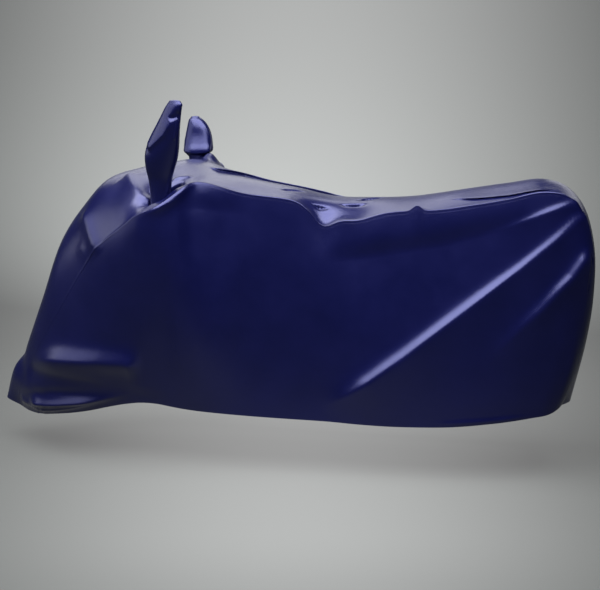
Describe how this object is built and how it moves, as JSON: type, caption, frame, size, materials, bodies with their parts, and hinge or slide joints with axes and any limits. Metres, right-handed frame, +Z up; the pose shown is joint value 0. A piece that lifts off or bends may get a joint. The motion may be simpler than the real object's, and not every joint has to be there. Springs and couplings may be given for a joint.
{
  "type": "motorcycle cover",
  "caption": "Fitted cover for a small motorcycle in glossy navy coated polyester, hollow, draped as it hangs, with mirror pockets and a long pull from the tail",
  "frame": {"origin": "the point on the underside of the cloth where it rests on the seat, on the middle plane", "axes": "+X runs along the cover from nose to tail, +Y points to the rider's right, +Z is up"},
  "size_m": [2.0018, 0.6407, 1.0613],
  "materials": {
    "coated_cloth": "glossy navy coated polyester"
  },
  "bodies": {
    "root": {"centre_panel": "coated_cloth", "side_panel_left": "coated_cloth", "side_panel_right": "coated_cloth", "mirror_pocket_left": "coated_cloth", "mirror_pocket_right": "coated_cloth"}
  },
  "joints": []
}
